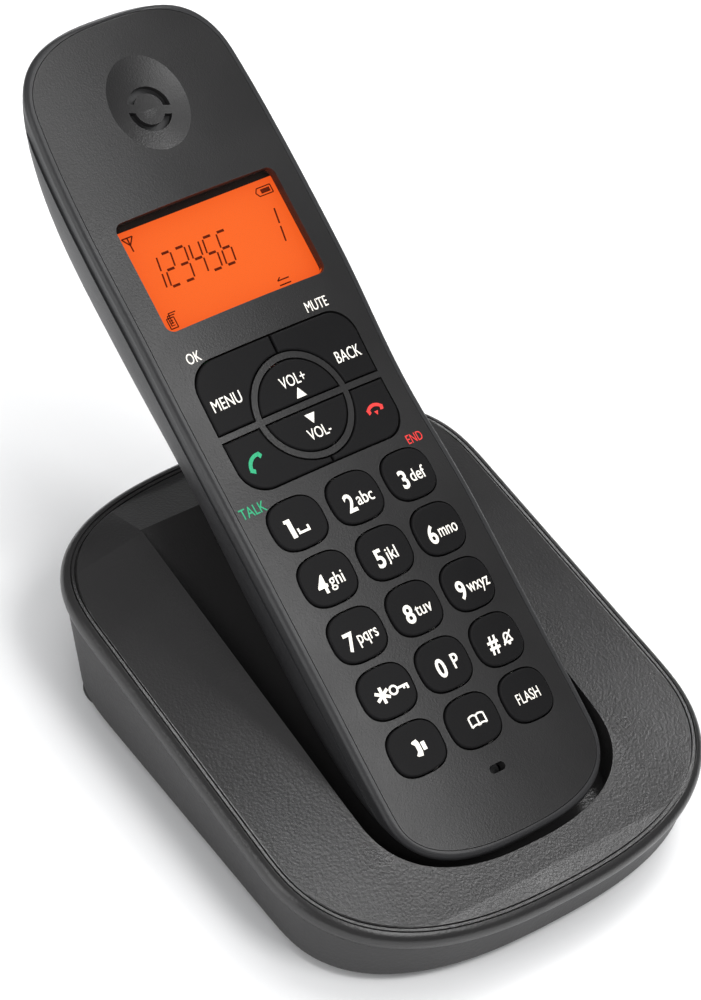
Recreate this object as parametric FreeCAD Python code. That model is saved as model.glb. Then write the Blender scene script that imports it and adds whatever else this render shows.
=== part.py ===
# Cordless desk telephone: a slim handset lying in a low base with a cradle.
# Millimetres. +X is right, -Y is the front, +Z is up; the table is z = 0 and the
# handset's centre plane is x = 0. The handset is shaped in its own frame, where
# x is across, y runs from the lower end to the top and z points out of the face,
# and is then laid in the cradle.
import math
import os

import FreeCAD
import Part

V = FreeCAD.Vector

# ---- handset: how it lies ----
LEAN = 24.2
HANDSET_Y = -33.9
HANDSET_Z = 12.7

# ---- handset: outline of the front cover ----
FACE_LENGTH = 154.0
FACE_HALF = 21.5
WAIST = 0.5
WAIST_AT = 79.0
WAIST_SPAN = 26.0
TOP_TAPER = 1.1
TOP_TAPER_FROM = 118.0
TOP_TAPER_RUN = 24.0
TOP_CAP = 13.0
TOP_POWER = 2.7
END_CAP = 11.5
END_POWER = 2.5

# ---- handset: shape of the face ----
CROWN = 1.6
DIP = 1.0
TOP_RISE = 0.8
TOP_RISE_FROM = 115.0
TOP_RISE_RUN = 39.0
COVER_T = 1.8
COVER_GAP = 0.12

# ---- handset: rear cover ----
RIM_W = 1.3
RIM_ROUND = 0.9
REAR_DEPTH = 21.5
REAR_FLAT = 20.8
DEEPEST_AT = 75.0
REAR_POWER = 2.3
LOW_POWER = 0.5
HIGH_POWER = 0.55
REAR_T = 1.8
LEDGE_W = 1.6
BAND_BELOW = 1.5
BAND_H = 2.0
BAND_DEPTH = 0.5

# ---- display ----
LCD_AT = 110.3
LCD_W = 34.0
LCD_H = 20.6
LCD_ROUND = 1.6
LENS_TOP = -0.1
LENS_T = 0.8
LENS_GAP = 0.1
GLASS_TOP = -1.5
GLASS_T = 1.4
GLASS_OVER = 0.7
GUIDE_T = 2.2
STACK_GAP = 0.1

# ---- earpiece, microphone, loudspeaker ----
EAR_AT = 137.2
EAR_RING_R = 3.5
EAR_SLOT_W = 1.3
EAR_GAP_DEG = 26.0
EAR_TURN_DEG = -19.0
EAR_DISH_R = 8.0
EAR_DISH_DEPTH = 0.8
EAR_UNIT_R = 8.5
EAR_UNIT_T = 4.2
EAR_UNIT_TOP = -1.0
MIC_AT = 11.1
MIC_SLOT_W = 3.3
MIC_SLOT_H = 1.5
MIC_R = 2.5
MIC_TOP = -2.2
MIC_T = 3.0
RINGER_AT = 122.0
RINGER_R = 8.0
RINGER_T = 3.6
RINGER_SLOTS = 5
RINGER_SLOT_W = 1.2
RINGER_SLOT_L = 10.0
RINGER_PITCH = 2.6

# ---- keys ----
KEY_W = 10.7
KEY_H = 9.4
KEY_POWER = 2.75
KEY_PITCH_X = 12.06
KEY_PITCH_Y = 10.58
KEY_ROW5_AT = 19.9
KEY_ROWS = 5
KEY_GAP = 0.28
KEY_RISE = 0.4
NAV_RISE = 0.15
KEY_ROUND = 0.3
KEY_TRAVEL = 0.5
FLANGE_W = 0.4
FLANGE_TOP = -2.8
FLANGE_T = 0.7
NAV_AT = 80.2
NAV_HALF = 17.3
NAV_TOP = 93.6
NAV_BOTTOM = 69.1
NAV_ROUND = 5.0
NAV_WEB = 1.1
NAV_RING_R = 9.6
NAV_DISC_R = 8.5
NAV_SLIT = 0.4

# ---- handset: boards and battery ----
BOARD_TOP = -5.4
BOARD_T = 1.0
BOARD_HALF = 16.5
BOARD_FROM = 14.0
BOARD_TO = 145.0
BOARD_ROUND = 6.0
SHEET_T = 0.25
DOME_R = 3.0
DOME_H = 0.35
CELL_R = 5.1
CELL_L = 44.5
CELL_X = 5.3
CELL_TOP = -7.8
NUB_R = 1.9
NUB_L = 0.8
TRAY_TOP = -6.9
TRAY_T = 0.7
TRAY_HALF = 11.8
TRAY_WALL = 2.5
TRAY_L = 51.0
DOOR_HALF = 13.5
DOOR_L = 57.0
DOOR_ROUND = 5.0
DOOR_GAP = 0.15
DOOR_RIB_W = 12.0
DOOR_RIB_H = 0.8
DOOR_RIB_PITCH = 2.0
DOOR_RIBS = 4
DOOR_RIB_DEPTH = 0.5
PLATE_T = 0.4
PLATE_W = 8.0

# ---- handset: screws and charging pads ----
SCREW_X = 12.0
SCREW_LOW_AT = 34.0
SCREW_HIGH_AT = 110.5
SCREW_HEAD_R = 2.3
SCREW_HEAD_T = 1.5
SCREW_R = 1.2
SCREW_HEAD_TOP = -13.0
SCREW_L = 5.0
SCREW_CLEAR = 0.2
BOSS_R = 3.9
PAD_X = 8.0
PAD_AT = 3.0
PAD_R = 2.2
PAD_L = 5.0

# ---- base: outlines ----
FOOT_H = 2.0
RIM_HALF_FRONT = 43.3
RIM_HALF_BACK = 41.1
RIM_FRONT = -45.4
RIM_BACK = 53.5
RIM_CAP_FRONT = 28.0
RIM_POWER_FRONT = 2.5
RIM_CAP_BACK = 22.5
RIM_POWER_BACK = 3.0
BOTTOM_HALF = 42.6
BOTTOM_FRONT = -46.4
BOTTOM_BACK = 46.3
BOTTOM_CAP_FRONT = 23.0
BOTTOM_CAP_BACK = 24.0

# ---- base: heights ----
RIM_Z = 15.6
RIM_SLOPE = 0.071
BAND_DROP = 3.8
BAND_OUT = 1.35
NOSE_OUT = 2.4
NOSE_DROP = 1.7
CREASE_HALF = 26.0
CREASE_SLOPE = 0.125
CREASE_FROM = -42.0
HIP_BACK = 43.0
COVER_SKIN = 1.8
HOUSING_T = 1.6
HOUSING_WALL = 1.9
GROOVE_W = 0.3
GROOVE_DEPTH = 0.5
GROOVE_STEP = 0.75

# ---- base: cradle ----
CRADLE_HALF = 26.1
CRADLE_FRONT = -37.0
CRADLE_CAP = 17.5
CRADLE_POWER = 2.5
CRADLE_GAP = 0.9
CRADLE_SKIN = 1.6
CRADLE_START_DEG = 74.0

# ---- base: contacts, board, sockets, feet, screws ----
PIN_R = 1.1
PIN_GAP = 0.35
PIN_L = 1.5
PIN_CLEAR = 0.08
PIN_FLANGE_R = 1.6
PIN_FLANGE_T = 0.4
PIN_TRAVEL = 0.5
BASE_BOARD_Z = 5.6
BASE_BOARD_T = 1.6
BASE_BOARD_HALF = 27.0
BASE_BOARD_FRONT = 14.0
BASE_BOARD_BACK = 41.0
SOCKET_X = 15.0
SOCKET_CLEAR = 0.2
SOCKET_BACK = 48.2
SOCKET_L = 11.0
SOCKET_H = 7.0
LINE_W = 11.0
LINE_WALL = 1.3
LINE_DEEP = 8.5
JACK_W = 9.0
JACK_BORE_R = 2.7
JACK_PIN_R = 0.7
JACK_DEEP = 8.5
FOOT_R = 4.5
FOOT_SEAT = 0.6
FOOT_X = 37.0
FOOT_FRONT = -22.5
FOOT_BACK = 31.0
BASE_SCREW_X = 34.5
BASE_SCREW_FRONT = -10.0
BASE_SCREW_BACK = 20.0
POST_R = 3.2
POST_SPLIT_Z = 8.5
BASE_SCREW_L = 7.5
BASE_SCREW_SEAT = 0.3

CAP_STEPS = 9
KEY_STEPS = 24
SIDE_STEPS = 8


def bump(x):
    """Smooth hill, 1 at x = 0 and 0 beyond +-1."""
    return 0.5 + 0.5 * math.cos(math.pi * x) if abs(x) < 1.0 else 0.0


def ramp(x):
    """Curve that stays 0 below 0 and grows as a square above it."""
    return x * x if x > 0.0 else 0.0


# ---- outlines: rounded at both ends, with sides that may taper ----
def cap_points(half, tip, cap, power, inward):
    """Points of one rounded end, from the side to just before the tip."""
    pts = []
    for i in range(CAP_STEPS):
        a = 0.5 * math.pi * i / CAP_STEPS
        along = math.sin(a) ** (2.0 / power) * cap
        y = tip + inward * (cap - along)
        pts.append((half(y) * math.cos(a) ** (2.0 / power), y))
    return pts


def half_outline(half, lo, hi, lo_cap, lo_power, hi_cap, hi_power):
    """The right half, from the low tip to the high tip."""
    low = cap_points(half, lo, lo_cap, lo_power, 1.0)
    high = cap_points(half, hi, hi_cap, hi_power, -1.0)
    side = []
    for i in range(1, SIDE_STEPS):
        y = lo + lo_cap + (hi - hi_cap - lo - lo_cap) * i / SIDE_STEPS
        side.append((half(y), y))
    return [(0.0, lo)] + low[::-1] + side + high + [(0.0, hi)]


def outline(half, lo, hi, lo_cap, lo_power, hi_cap, hi_power, offset=0.0):
    """The whole closed outline, grown by offset."""
    right = half_outline(half, lo, hi, lo_cap, lo_power, hi_cap, hi_power)
    left = [(-x, y) for x, y in right[-2:0:-1]]
    pts = right + left
    n = len(pts)
    grown = []
    for i in range(n):
        ax, ay = pts[i - 1]
        bx, by = pts[(i + 1) % n]
        size = math.hypot(bx - ax, by - ay)
        grown.append((pts[i][0] + offset * (by - ay) / size,
                      pts[i][1] - offset * (bx - ax) / size))
    return grown


def closed_wire(points):
    curve = Part.BSplineCurve()
    curve.interpolate(Points=[V(*p) for p in points], PeriodicFlag=True)
    return Part.Wire([curve.toShape()])


def prism(points, z0, z1):
    face = Part.Face(closed_wire([(x, y, z0) for x, y in points]))
    return face.extrude(V(0, 0, z1 - z0))


def box(x0, x1, y0, y1, z0, z1):
    return Part.makeBox(x1 - x0, y1 - y0, z1 - z0, V(x0, y0, z0))


def rounded_box(x0, x1, y0, y1, z0, z1, r):
    solid = box(x0, x1, y0, y1, z0, z1)
    edges = [e for e in solid.Edges if abs(e.tangentAt(e.FirstParameter).z) > 0.9]
    return solid.makeFillet(r, edges)


def cylinder(x, y, z0, z1, r):
    return Part.makeCylinder(r, z1 - z0, V(x, y, z0))


def smooth_edge(points):
    """One edge through points in the y-z plane."""
    spots = [V(0, y, z) for y, z in points]
    if len(spots) == 2:
        return Part.makeLine(*spots)
    curve = Part.BSplineCurve()
    curve.interpolate(Points=spots)
    return curve.toShape()


def slab_between(low, high, x_half):
    """Everything between two curves in the y-z plane, across x."""
    ends = [Part.makeLine(V(0, *low[-1]), V(0, *high[-1])),
            Part.makeLine(V(0, *high[0]), V(0, *low[0]))]
    ring = Part.Wire(Part.__sortEdges__([smooth_edge(low), smooth_edge(high)] + ends))
    face = Part.Face(ring)
    face.translate(V(-x_half, 0, 0))
    return face.extrude(V(2 * x_half, 0, 0))


# ---- handset shape ----
def face_half(y):
    waist = WAIST * bump((y - WAIST_AT) / WAIST_SPAN)
    return FACE_HALF - waist - TOP_TAPER * ramp((y - TOP_TAPER_FROM) / TOP_TAPER_RUN)


def face_rise(y):
    dip = DIP * bump((y - WAIST_AT) / WAIST_SPAN)
    return TOP_RISE * ramp((y - TOP_RISE_FROM) / TOP_RISE_RUN) - dip


def face_outline(offset=0.0):
    return outline(face_half, 0.0, FACE_LENGTH, END_CAP, END_POWER, TOP_CAP, TOP_POWER, offset)


def under_face(raise_by=0.0):
    """Solid below the crowned, slightly dished face."""
    rows = []
    for i in range(-8, 9):
        x = i * 3.5
        crown = CROWN * (1.0 - (x / FACE_HALF) ** 2)
        rows.append([V(x, y, face_rise(y) + crown + raise_by) for y in range(-10, 170, 5)])
    surface = Part.BSplineSurface()
    surface.interpolate(rows)
    return surface.toShape().extrude(V(0, 0, -60))


def rear_low_end(z, depth, grow):
    reach = DEEPEST_AT + RIM_W + grow
    return DEEPEST_AT - reach * math.sqrt(1.0 - (z / depth) ** (1.0 / LOW_POWER))


def rear_high_end(z, depth, grow):
    reach = FACE_LENGTH - DEEPEST_AT + RIM_W + grow
    return DEEPEST_AT + reach * math.sqrt(1.0 - (z / depth) ** (1.0 / HIGH_POWER))


def rear_level(z, depth, grow):
    """Outline of the rear body at a depth below the face edge."""
    share = (1.0 - (z / depth) ** REAR_POWER) ** (1.0 / REAR_POWER)
    lo = rear_low_end(z, depth, grow)
    hi = rear_high_end(z, depth, grow)
    lo_cap = min(END_CAP + RIM_W + z, 0.9 * (DEEPEST_AT - lo))
    hi_cap = min(TOP_CAP + RIM_W + z, 0.9 * (hi - DEEPEST_AT))
    ease = z / depth
    pts = outline(lambda y: (face_half(y) + RIM_W + grow) * share, lo, hi,
                  lo_cap, END_POWER - 0.4 * ease, hi_cap, TOP_POWER - 0.6 * ease)
    return closed_wire([(x, y, -z) for x, y in pts])


def rear_body(grow=0.0, above=8.0):
    """Pebble shape of the whole handset below its face; grow < 0 is the inside."""
    depth = REAR_DEPTH + grow
    flat = REAR_FLAT + grow
    top = [(x, y, above) for x, y in face_outline(RIM_W + grow)]
    shares = (0.0, 0.1, 0.22, 0.36, 0.5, 0.64, 0.77, 0.88, 0.95, 1.0)
    levels = [rear_level(s * flat, depth, grow) for s in shares]
    return Part.makeLoft([closed_wire(top)] + levels, True, False)


def band_cutter():
    """Ring that cuts the shallow band round the sides, following the face."""
    ys = range(-12, 172, 8)
    low = [(y, face_rise(y) - BAND_BELOW - BAND_H) for y in ys]
    high = [(y, face_rise(y) - BAND_BELOW) for y in ys]
    slab = slab_between(low, high, 40.0)
    return slab.cut(prism(face_outline(RIM_W - BAND_DEPTH), -12.0, 12.0))


def handset_blank(face, body):
    blank = body.common(face)
    top = [e for e in blank.Edges if e.BoundBox.ZMin > -1.6 and e.Length > 200.0]
    return blank.makeFillet(RIM_ROUND, top)


# ---- keys ----
def key_points(x, y, grow):
    pts = []
    for i in range(KEY_STEPS):
        a = 2.0 * math.pi * i / KEY_STEPS
        c = math.cos(a)
        s = math.sin(a)
        pts.append((x + (0.5 * KEY_W + grow) * math.copysign(abs(c) ** (2.0 / KEY_POWER), c),
                    y + (0.5 * KEY_H + grow) * math.copysign(abs(s) ** (2.0 / KEY_POWER), s)))
    return pts


def dial_key_area(column, row, grow, z0, z1):
    x = column * KEY_PITCH_X
    y = KEY_ROW5_AT + (KEY_ROWS - 1 - row) * KEY_PITCH_Y
    return prism(key_points(x, y, grow), z0, z1)


def nav_frame(grow, z0, z1):
    return rounded_box(-NAV_HALF - grow, NAV_HALF + grow, NAV_BOTTOM - grow, NAV_TOP + grow,
                       z0, z1, NAV_ROUND)


def nav_corner_area(upper, grow, z0, z1):
    """Upper or lower pair of corner keys, as one area."""
    edge = 0.5 * NAV_WEB - grow
    side = box(-30, 30, NAV_AT + edge, NAV_AT + 30, z0, z1)
    if not upper:
        side = box(-30, 30, NAV_AT - 30, NAV_AT - edge, z0, z1)
    disc = cylinder(0, NAV_AT, z0, z1, NAV_RING_R - grow)
    return nav_frame(grow, z0, z1).common(side).cut(disc)


def nav_one_corner(upper, right, grow, z0, z1):
    area = nav_corner_area(upper, grow, z0, z1)
    keep = box(0.5 * NAV_SLIT, 40, 0, 160, z0, z1)
    if not right:
        keep = box(-40, -0.5 * NAV_SLIT, 0, 160, z0, z1)
    return area.common(keep)


def nav_half_area(upper, grow, z0, z1):
    edge = 0.5 * NAV_WEB - grow
    disc = cylinder(0, NAV_AT, z0, z1, NAV_DISC_R + grow)
    if upper:
        return disc.common(box(-30, 30, NAV_AT + edge, NAV_AT + 30, z0, z1))
    return disc.common(box(-30, 30, NAV_AT - 30, NAV_AT - edge, z0, z1))


def key_solid(area, raised):
    """A key: raised cap through the cover and a wider flange that keeps it in."""
    bottom = FLANGE_TOP - FLANGE_T
    cap = area(-KEY_GAP, bottom, 8.0).common(raised)
    top = [e for e in cap.Edges if e.BoundBox.ZMin > FLANGE_TOP + 1.0]
    flange = area(FLANGE_W - KEY_GAP, bottom, FLANGE_TOP)
    return cap.makeFillet(KEY_ROUND, top).fuse(flange).removeSplitter()


DIAL_NAMES = (("key_1", "key_2", "key_3"), ("key_4", "key_5", "key_6"),
              ("key_7", "key_8", "key_9"), ("key_star", "key_0", "key_hash"),
              ("key_speaker", "key_book", "key_flash"))
NAV_NAMES = ("key_menu", "key_back", "key_talk", "key_end", "key_up", "key_down")


def key_areas():
    """Each key's name and the function that gives its area."""
    areas = {}
    for row, names in enumerate(DIAL_NAMES):
        for column, name in enumerate(names):
            areas[name] = lambda g, a, b, c=column - 1, r=row: dial_key_area(c, r, g, a, b)
    areas["key_menu"] = lambda g, a, b: nav_one_corner(True, False, g, a, b)
    areas["key_back"] = lambda g, a, b: nav_one_corner(True, True, g, a, b)
    areas["key_talk"] = lambda g, a, b: nav_one_corner(False, False, g, a, b)
    areas["key_end"] = lambda g, a, b: nav_one_corner(False, True, g, a, b)
    areas["key_up"] = lambda g, a, b: nav_half_area(True, g, a, b)
    areas["key_down"] = lambda g, a, b: nav_half_area(False, g, a, b)
    return areas


def key_holes():
    holes = []
    for row in range(KEY_ROWS):
        for column in (-1, 0, 1):
            holes.append(dial_key_area(column, row, 0.0, -8.0, 8.0))
    for upper in (True, False):
        holes.append(nav_corner_area(upper, 0.0, -8.0, 8.0))
        holes.append(nav_half_area(upper, 0.0, -8.0, 8.0))
    return holes


# ---- front cover ----
def lcd_box(grow, z0, z1, r):
    return rounded_box(-0.5 * LCD_W - grow, 0.5 * LCD_W + grow, LCD_AT - 0.5 * LCD_H - grow,
                       LCD_AT + 0.5 * LCD_H + grow, z0, z1, r)


def ear_slots():
    ring = cylinder(0, 0, -8, 8, EAR_RING_R + 0.5 * EAR_SLOT_W)
    ring = ring.cut(cylinder(0, 0, -8, 8, EAR_RING_R - 0.5 * EAR_SLOT_W))
    gap = 2.0 * EAR_RING_R * math.sin(math.radians(0.5 * EAR_GAP_DEG))
    ring = ring.cut(box(-20, 20, -0.5 * gap, 0.5 * gap, -8, 8))
    ring.rotate(V(0, 0, 0), V(0, 0, 1), EAR_TURN_DEG)
    ring.translate(V(0, EAR_AT, 0))
    return ring


def ear_dish():
    """Lens-shaped bite of the dish radius and depth."""
    ball = (EAR_DISH_R ** 2 + EAR_DISH_DEPTH ** 2) / (2.0 * EAR_DISH_DEPTH)
    top = face_rise(EAR_AT) + CROWN
    edge = CROWN * 0.5 * (EAR_DISH_R / FACE_HALF) ** 2
    return Part.makeSphere(ball, V(0, EAR_AT, top - edge - EAR_DISH_DEPTH + ball))


def mic_slot():
    return rounded_box(-0.5 * MIC_SLOT_W, 0.5 * MIC_SLOT_W, MIC_AT - 0.5 * MIC_SLOT_H,
                       MIC_AT + 0.5 * MIC_SLOT_H, -8, 8, 0.49 * MIC_SLOT_H)


def front_cover(blank, under):
    cover = blank.common(prism(face_outline(-COVER_GAP), -20, 12)).cut(under)
    cover = cover.cut(ear_dish())
    tools = key_holes() + [ear_slots(), mic_slot(), lcd_box(0.0, -8, 8, LCD_ROUND)]
    return cover.cut(Part.makeCompound(tools))


# ---- rear cover and battery door ----
def door_box(grow):
    mid = DEEPEST_AT
    return rounded_box(-DOOR_HALF - grow, DOOR_HALF + grow, mid - 0.5 * DOOR_L - grow,
                       mid + 0.5 * DOOR_L + grow, -30, -9, DOOR_ROUND)


def tray():
    half = TRAY_HALF + TRAY_WALL
    long = 0.5 * TRAY_L + TRAY_WALL
    inner = box(-TRAY_HALF, TRAY_HALF, DEEPEST_AT - 0.5 * TRAY_L, DEEPEST_AT + 0.5 * TRAY_L,
                -40, TRAY_TOP - TRAY_T)
    return box(-half, half, DEEPEST_AT - long, DEEPEST_AT + long, -40, TRAY_TOP).cut(inner)


def screw_places():
    return [(s * SCREW_X, y) for y in (SCREW_LOW_AT, SCREW_HIGH_AT) for s in (-1, 1)]


def boss(x, y):
    return cylinder(x, y, -40, BOARD_TOP - BOARD_T - STACK_GAP, BOSS_R)


def screw_hole(x, y):
    head = cylinder(x, y, -40, SCREW_HEAD_TOP, SCREW_HEAD_R + SCREW_CLEAR)
    return head.fuse(cylinder(x, y, SCREW_HEAD_TOP - 1, SCREW_HEAD_TOP + SCREW_L, SCREW_R))


def ringer_slots():
    slots = []
    for i in range(RINGER_SLOTS):
        y = RINGER_AT + (i - 0.5 * (RINGER_SLOTS - 1)) * RINGER_PITCH
        slots.append(box(-0.5 * RINGER_SLOT_L, 0.5 * RINGER_SLOT_L, y - 0.5 * RINGER_SLOT_W,
                         y + 0.5 * RINGER_SLOT_W, -30, BOARD_TOP - BOARD_T - RINGER_T - 0.5))
    return Part.makeCompound(slots)


def pad_places():
    return [(-PAD_X, PAD_AT), (PAD_X, PAD_AT)]


def pad_rod(x, r, back, ahead):
    """Rod through the lower end, square to the surface at the pad."""
    y, z, ny, nz = pad_surface()
    return Part.makeCylinder(r, back + ahead, V(x, y - back * ny, z - back * nz), V(0, ny, nz))


def pad_surface():
    """Where the pad meets the lower end, and the way out of it."""
    reach = DEEPEST_AT + RIM_W
    s = (DEEPEST_AT - PAD_AT) / reach
    z = -REAR_DEPTH * math.sqrt(1.0 - s * s)
    ny = -s / reach
    nz = z / REAR_DEPTH ** 2
    size = math.hypot(ny, nz)
    return PAD_AT, z, ny / size, nz / size


def rear_cover(blank, under, inside):
    shell = blank.cut(prism(face_outline(0.0), -20, 12).cut(under))
    void = inside.common(prism(face_outline(-LEDGE_W), -40, 12)).cut(tray())
    void = void.cut(Part.makeCompound([boss(x, y) for x, y in screw_places()]))
    shell = shell.cut(void).cut(band_cutter()).cut(door_box(DOOR_GAP).cut(inside))
    holes = [screw_hole(x, y) for x, y in screw_places()]
    holes += [pad_rod(x, PAD_R, 4.0, 8.0) for x, _ in pad_places()]
    return shell.cut(Part.makeCompound(holes)).cut(ringer_slots())


def battery_door(blank, inside):
    door = blank.common(door_box(0.0)).cut(inside)
    ribs = []
    low = DEEPEST_AT + 0.5 * DOOR_L - 6.0
    for i in range(DOOR_RIBS):
        y = low - i * DOOR_RIB_PITCH
        share = (y - DEEPEST_AT) / (FACE_LENGTH - DEEPEST_AT + RIM_W)
        z = -min(REAR_FLAT, REAR_DEPTH * (1.0 - share ** 2) ** HIGH_POWER) + DOOR_RIB_DEPTH
        ribs.append(box(-0.5 * DOOR_RIB_W, 0.5 * DOOR_RIB_W, y, y + DOOR_RIB_H, -40, z))
    return door.cut(Part.makeCompound(ribs))


# ---- handset inside ----
def handset_board():
    return rounded_box(-BOARD_HALF, BOARD_HALF, BOARD_FROM, BOARD_TO, BOARD_TOP - BOARD_T,
                       BOARD_TOP, BOARD_ROUND)


def dome_sheet():
    low = KEY_ROW5_AT - 0.5 * KEY_H
    sheet = box(-BOARD_HALF + 0.5, BOARD_HALF - 0.5, low, NAV_TOP - 1.0, BOARD_TOP,
                BOARD_TOP + SHEET_T)
    spots = [(c * KEY_PITCH_X, KEY_ROW5_AT + r * KEY_PITCH_Y) for r in range(KEY_ROWS)
             for c in (-1, 0, 1)]
    spots += [(s * 12.4, NAV_AT + t * 7.0) for s in (-1, 1) for t in (-1, 1)]
    spots += [(0.0, NAV_AT + 4.6), (0.0, NAV_AT - 4.6)]
    domes = [cylinder(x, y, BOARD_TOP, BOARD_TOP + SHEET_T + DOME_H, DOME_R) for x, y in spots]
    return sheet.fuse(domes).removeSplitter()


def battery_cells():
    cells = []
    for side in (-1, 1):
        can = Part.makeCylinder(CELL_R, CELL_L, V(side * CELL_X, DEEPEST_AT - 0.5 * CELL_L,
                                                  CELL_TOP - CELL_R), V(0, 1, 0))
        tip = DEEPEST_AT + side * 0.5 * CELL_L
        nub = Part.makeCylinder(NUB_R, NUB_L, V(side * CELL_X, tip, CELL_TOP - CELL_R),
                                V(0, side, 0))
        cells.append(can.fuse(nub).removeSplitter())
    return Part.makeCompound(cells)


def battery_contacts():
    """Two plates at each end of the compartment, with a cone spring on one."""
    made = []
    mid_z = CELL_TOP - CELL_R
    for side in (-1, 1):
        for end in (-1, 1):
            wall = DEEPEST_AT + end * 0.5 * TRAY_L
            y0 = min(wall, wall - end * PLATE_T)
            x = side * CELL_X
            plate = box(x - 0.5 * PLATE_W, x + 0.5 * PLATE_W, y0, y0 + PLATE_T,
                        mid_z - 3.0, mid_z + 3.5)
            if side != end:
                plate = plate.fuse(spring_cone(x, wall - end * PLATE_T, mid_z, -end))
            made.append(plate)
    return Part.makeCompound(made)


def spring_cone(x, y, z, way):
    gap = 0.5 * (TRAY_L - CELL_L) - PLATE_T
    return Part.makeCone(3.2, 1.8, gap, V(x, y, z), V(0, way, 0))


def handset_screws():
    made = []
    for x, y in screw_places():
        head = cylinder(x, y, SCREW_HEAD_TOP - SCREW_HEAD_T, SCREW_HEAD_TOP, SCREW_HEAD_R)
        cross = [box(x - 1.4, x + 1.4, y - 0.3, y + 0.3, -40, SCREW_HEAD_TOP - 0.8),
                 box(x - 0.3, x + 0.3, y - 1.4, y + 1.4, -40, SCREW_HEAD_TOP - 0.8)]
        shank = cylinder(x, y, SCREW_HEAD_TOP, SCREW_HEAD_TOP + SCREW_L, SCREW_R)
        made.append(head.cut(Part.makeCompound(cross)).fuse(shank).removeSplitter())
    return Part.makeCompound(made)


def handset_pads(body):
    rods = [pad_rod(x, PAD_R, 4.0, 8.0).common(body) for x, _ in pad_places()]
    return Part.makeCompound(rods)


def speaker(y, r, z0, z1):
    """Round sounder: a frame with a narrower magnet behind."""
    frame = cylinder(0, y, z0 + 0.45 * (z1 - z0), z1, r)
    return frame.fuse(cylinder(0, y, z0, z1 - 0.4, 0.6 * r)).removeSplitter()


def handset_parts():
    face = under_face()
    under = under_face(-COVER_T)
    body = rear_body()
    inside = rear_body(-REAR_T, 6.0)
    blank = handset_blank(face, body)
    raised = under_face(KEY_RISE)
    raised_nav = under_face(NAV_RISE)
    low = BOARD_TOP - BOARD_T
    parts = {
        "handset_front_cover": front_cover(blank, under),
        "handset_rear_cover": rear_cover(blank, under, inside),
        "battery_door": battery_door(blank, inside),
        "display_window": lcd_box(-LENS_GAP, LENS_TOP - LENS_T, LENS_TOP, LCD_ROUND),
        "display_glass": lcd_box(GLASS_OVER, GLASS_TOP - GLASS_T, GLASS_TOP, 0.8),
        "display_light_guide": lcd_box(0.2, GLASS_TOP - GLASS_T - STACK_GAP - GUIDE_T,
                                       GLASS_TOP - GLASS_T - STACK_GAP, 0.8),
        "earpiece_speaker": speaker(EAR_AT, EAR_UNIT_R, EAR_UNIT_TOP - EAR_UNIT_T, EAR_UNIT_TOP),
        "microphone": cylinder(0, MIC_AT, MIC_TOP - MIC_T, MIC_TOP, MIC_R),
        "loudspeaker": speaker(RINGER_AT, RINGER_R, low - RINGER_T, low - STACK_GAP),
        "handset_board": handset_board(),
        "dome_sheet": dome_sheet(),
        "battery_cells": battery_cells(),
        "battery_contacts": battery_contacts(),
        "handset_screws": handset_screws(),
        "handset_charge_pads": handset_pads(body),
    }
    for name, area in key_areas().items():
        parts[name] = key_solid(area, raised_nav if name in NAV_NAMES else raised)
    return parts


def lay_in_cradle(shape):
    shape.rotate(V(0, 0, 0), V(1, 0, 0), LEAN)
    shape.translate(V(0, HANDSET_Y, HANDSET_Z))
    return shape


# ---- base ----
def rim_half(y):
    share = (y - RIM_FRONT) / (RIM_BACK - RIM_FRONT)
    return RIM_HALF_FRONT + (RIM_HALF_BACK - RIM_HALF_FRONT) * share


def rim_outline(offset=0.0):
    return outline(rim_half, RIM_FRONT, RIM_BACK, RIM_CAP_FRONT, RIM_POWER_FRONT,
                   RIM_CAP_BACK, RIM_POWER_BACK, offset)


def bottom_outline(offset=0.0):
    return outline(lambda y: BOTTOM_HALF, BOTTOM_FRONT, BOTTOM_BACK, BOTTOM_CAP_FRONT,
                   RIM_POWER_FRONT, BOTTOM_CAP_BACK, RIM_POWER_BACK, offset)


def rim_z(y):
    return RIM_Z + RIM_SLOPE * y


def crease_z(y):
    return rim_z(CREASE_FROM) + CREASE_SLOPE * (y - CREASE_FROM)


def rim_wire(offset, drop):
    """The rim's outline on the sloping rim plane, lowered by drop."""
    return closed_wire([(x, y, rim_z(y) - drop) for x, y in rim_outline(offset)])


def rim_ring():
    """The rounded nose that runs round the top edge, filled in."""
    steps = ((BAND_OUT, BAND_DROP), (0.86 * NOSE_OUT, 0.8 * BAND_DROP), (NOSE_OUT, NOSE_DROP),
             (0.93 * NOSE_OUT, 0.5 * NOSE_DROP), (0.7 * NOSE_OUT, 0.14 * NOSE_DROP),
             (0.45 * NOSE_OUT, 0.0))
    return Part.makeLoft([rim_wire(out, drop) for out, drop in steps], True, False)


def ridge_section(y, top, lower):
    """Cross-section of the tent-shaped top: wings and a flat middle."""
    edge = rim_half(y)
    run = 3.0
    fall = (top - rim_z(y)) / (edge - CREASE_HALF) * run
    side_z = rim_z(y) - fall - lower
    pts = [(-edge - run, -30.0), (-edge - run, side_z), (-CREASE_HALF, top - lower),
           (CREASE_HALF, top - lower), (edge + run, side_z), (edge + run, -30.0)]
    return Part.makePolygon([V(x, y, z) for x, z in pts + pts[:1]])


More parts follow.
